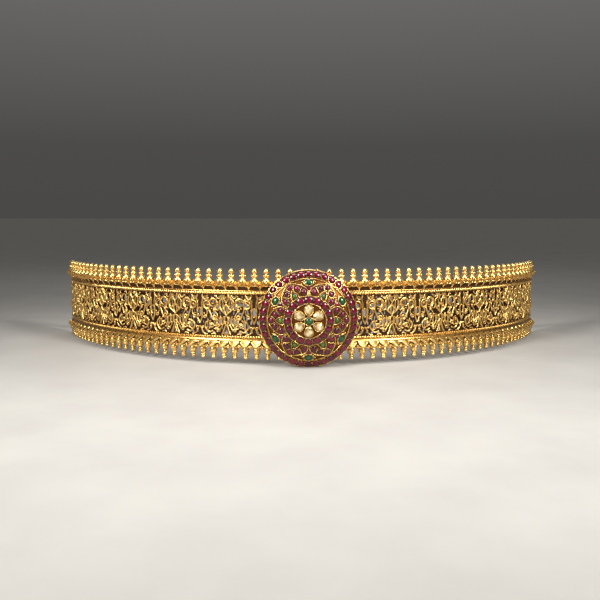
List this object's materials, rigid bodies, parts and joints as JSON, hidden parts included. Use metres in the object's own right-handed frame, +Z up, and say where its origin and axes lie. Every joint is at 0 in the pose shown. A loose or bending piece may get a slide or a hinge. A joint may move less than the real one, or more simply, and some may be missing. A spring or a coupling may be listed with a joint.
{
  "type": "oddiyanam waist belt",
  "caption": "Rigid pierced gold half belt in two curved half-bands with ball finials, a domed stone-set medallion in front, and a round-link chain closing the loop behind.",
  "frame": {"origin": "centre of the bounding box in plan, on the surface the belt rests on", "axes": "+X to the right of someone who looks at the medallion, along the belt's width; -Y the front, towards the viewer; +Z up"},
  "size_m": [0.2788, 0.2554, 0.0458],
  "materials": {
    "gold": "antique gold, soft sheen, dark in the recesses",
    "ruby": "polished cabochon, deep red",
    "emerald": "polished cabochon, deep green",
    "polki": "flat-cut pale stone with foil behind"
  },
  "bodies": {
    "root": {"band_left": "gold", "band_right": "gold", "clasp_pin": "gold", "medallion_setting": "gold", "centre_emerald": "emerald", "polki_1": "polki", "polki_2": "polki", "polki_3": "polki", "polki_4": "polki", "polki_5": "polki", "polki_6": "polki", "oval_emerald_1": "emerald", "oval_emerald_2": "emerald", "oval_emerald_3": "emerald", "oval_emerald_4": "emerald", "oval_emerald_5": "emerald", "oval_emerald_6": "emerald", "ruby_inner_ring": "ruby", "ruby_leaves": "ruby", "ruby_wedges": "ruby", "leaf_emeralds": "emerald", "ruby_outer_ring": "ruby", "back_chain": "gold"}
  },
  "joints": []
}
